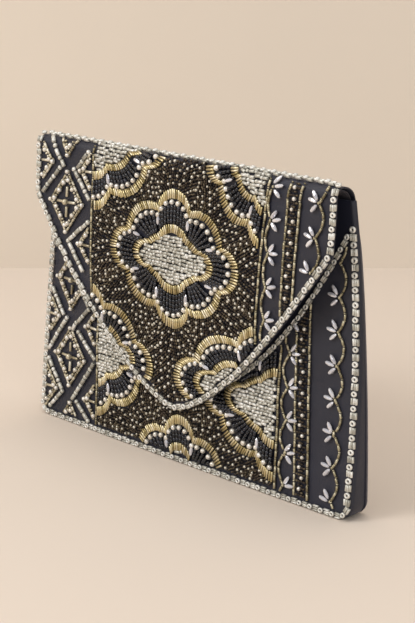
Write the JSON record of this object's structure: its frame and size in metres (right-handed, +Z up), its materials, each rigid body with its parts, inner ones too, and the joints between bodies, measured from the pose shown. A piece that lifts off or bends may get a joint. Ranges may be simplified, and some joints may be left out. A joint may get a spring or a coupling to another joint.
{
  "type": "clutch purse",
  "caption": "Envelope clutch purse with beaded front, V-shaped hinged flap, soft top fold, magnetic snap, inner slip pocket and board-stiffened satin pouch.",
  "frame": {"origin": "middle of the underside of the base, which stands on a surface", "axes": "X along the width to the viewer's right, Y from the beaded front to the plain back, Z up to the top fold"},
  "size_m": [0.275, 0.0294, 0.1914],
  "materials": {
    "satin": "soft sheen satin",
    "lining": "matt woven lining",
    "board": "plain pressed board",
    "snap_metal": "polished",
    "silver_beads": "silver-lined beads, opaque",
    "gold_beads": "gold-lined bugle and seed beads, opaque",
    "black_beads": "glossy black bugle beads, opaque",
    "bronze_beads": "dark bronze seed beads, opaque",
    "crystal": "cut crystal, silver backed"
  },
  "bodies": {
    "pouch": {"back_board": "board", "back_cloth": "satin", "back_lining": "lining", "base_board": "board", "front_board": "board", "front_braid": "gold_beads", "front_chevron_inner_1": "silver_beads", "front_chevron_inner_2": "silver_beads", "front_chevron_outer_1": "silver_beads", "front_chevron_outer_2": "silver_beads", "front_cloth": "satin", "front_diamond": "gold_beads", "front_ground": "bronze_beads", "front_lining": "lining", "front_medallion_base": "gold_beads", "front_medallion_left": "gold_beads", "front_medallion_right": "gold_beads", "front_rail_left": "gold_beads", "front_rail_right": "gold_beads", "front_vine_inner": "crystal", "front_vine_outer": "crystal", "gusset": "satin", "mouth_binding": "satin", "slip_pocket": "lining", "slip_pocket_binding": "satin", "snap_socket": "snap_metal", "snap_socket_washer": "snap_metal", "trim_base": "silver_beads", "trim_left": "silver_beads", "trim_right": "silver_beads", "trim_vee": "silver_beads"},
    "fold": {"fold_cloth": "satin", "fold_interlining": "board", "fold_lining": "lining", "trim_crest": "silver_beads"},
    "flap": {"flap_board": "board", "flap_braid": "gold_beads", "flap_chevron_inner": "silver_beads", "flap_cloth": "satin", "flap_diamond": "gold_beads", "flap_ground": "bronze_beads", "flap_lining": "lining", "flap_medallion_bugle_ring": "black_beads", "flap_medallion_field": "silver_beads", "flap_medallion_inner_ring": "gold_beads", "flap_medallion_lower_left": "gold_beads", "flap_medallion_lower_right": "gold_beads", "flap_medallion_outer_ring": "gold_beads", "flap_medallion_upper_left": "gold_beads", "flap_medallion_upper_right": "gold_beads", "flap_rail_left": "gold_beads", "flap_rail_right": "gold_beads", "flap_vine_inner": "crystal", "flap_vine_outer": "crystal", "snap_stud": "snap_metal", "snap_stud_washer": "snap_metal", "trim_flap_edge": "silver_beads", "trim_flap_left": "silver_beads", "trim_flap_right": "silver_beads"}
  },
  "joints": [
    {"name": "rear_crease", "type": "hinge", "parent": "pouch", "child": "fold", "pos_m": [0, 0.0128, 0.172], "axis": [-1, 0, 0], "range_deg": [0, 120]},
    {"name": "front_crease", "type": "hinge", "parent": "fold", "child": "flap", "pos_m": [0, -0.0088, 0.172], "axis": [-1, 0, 0], "range_deg": [0, 100]}
  ]
}
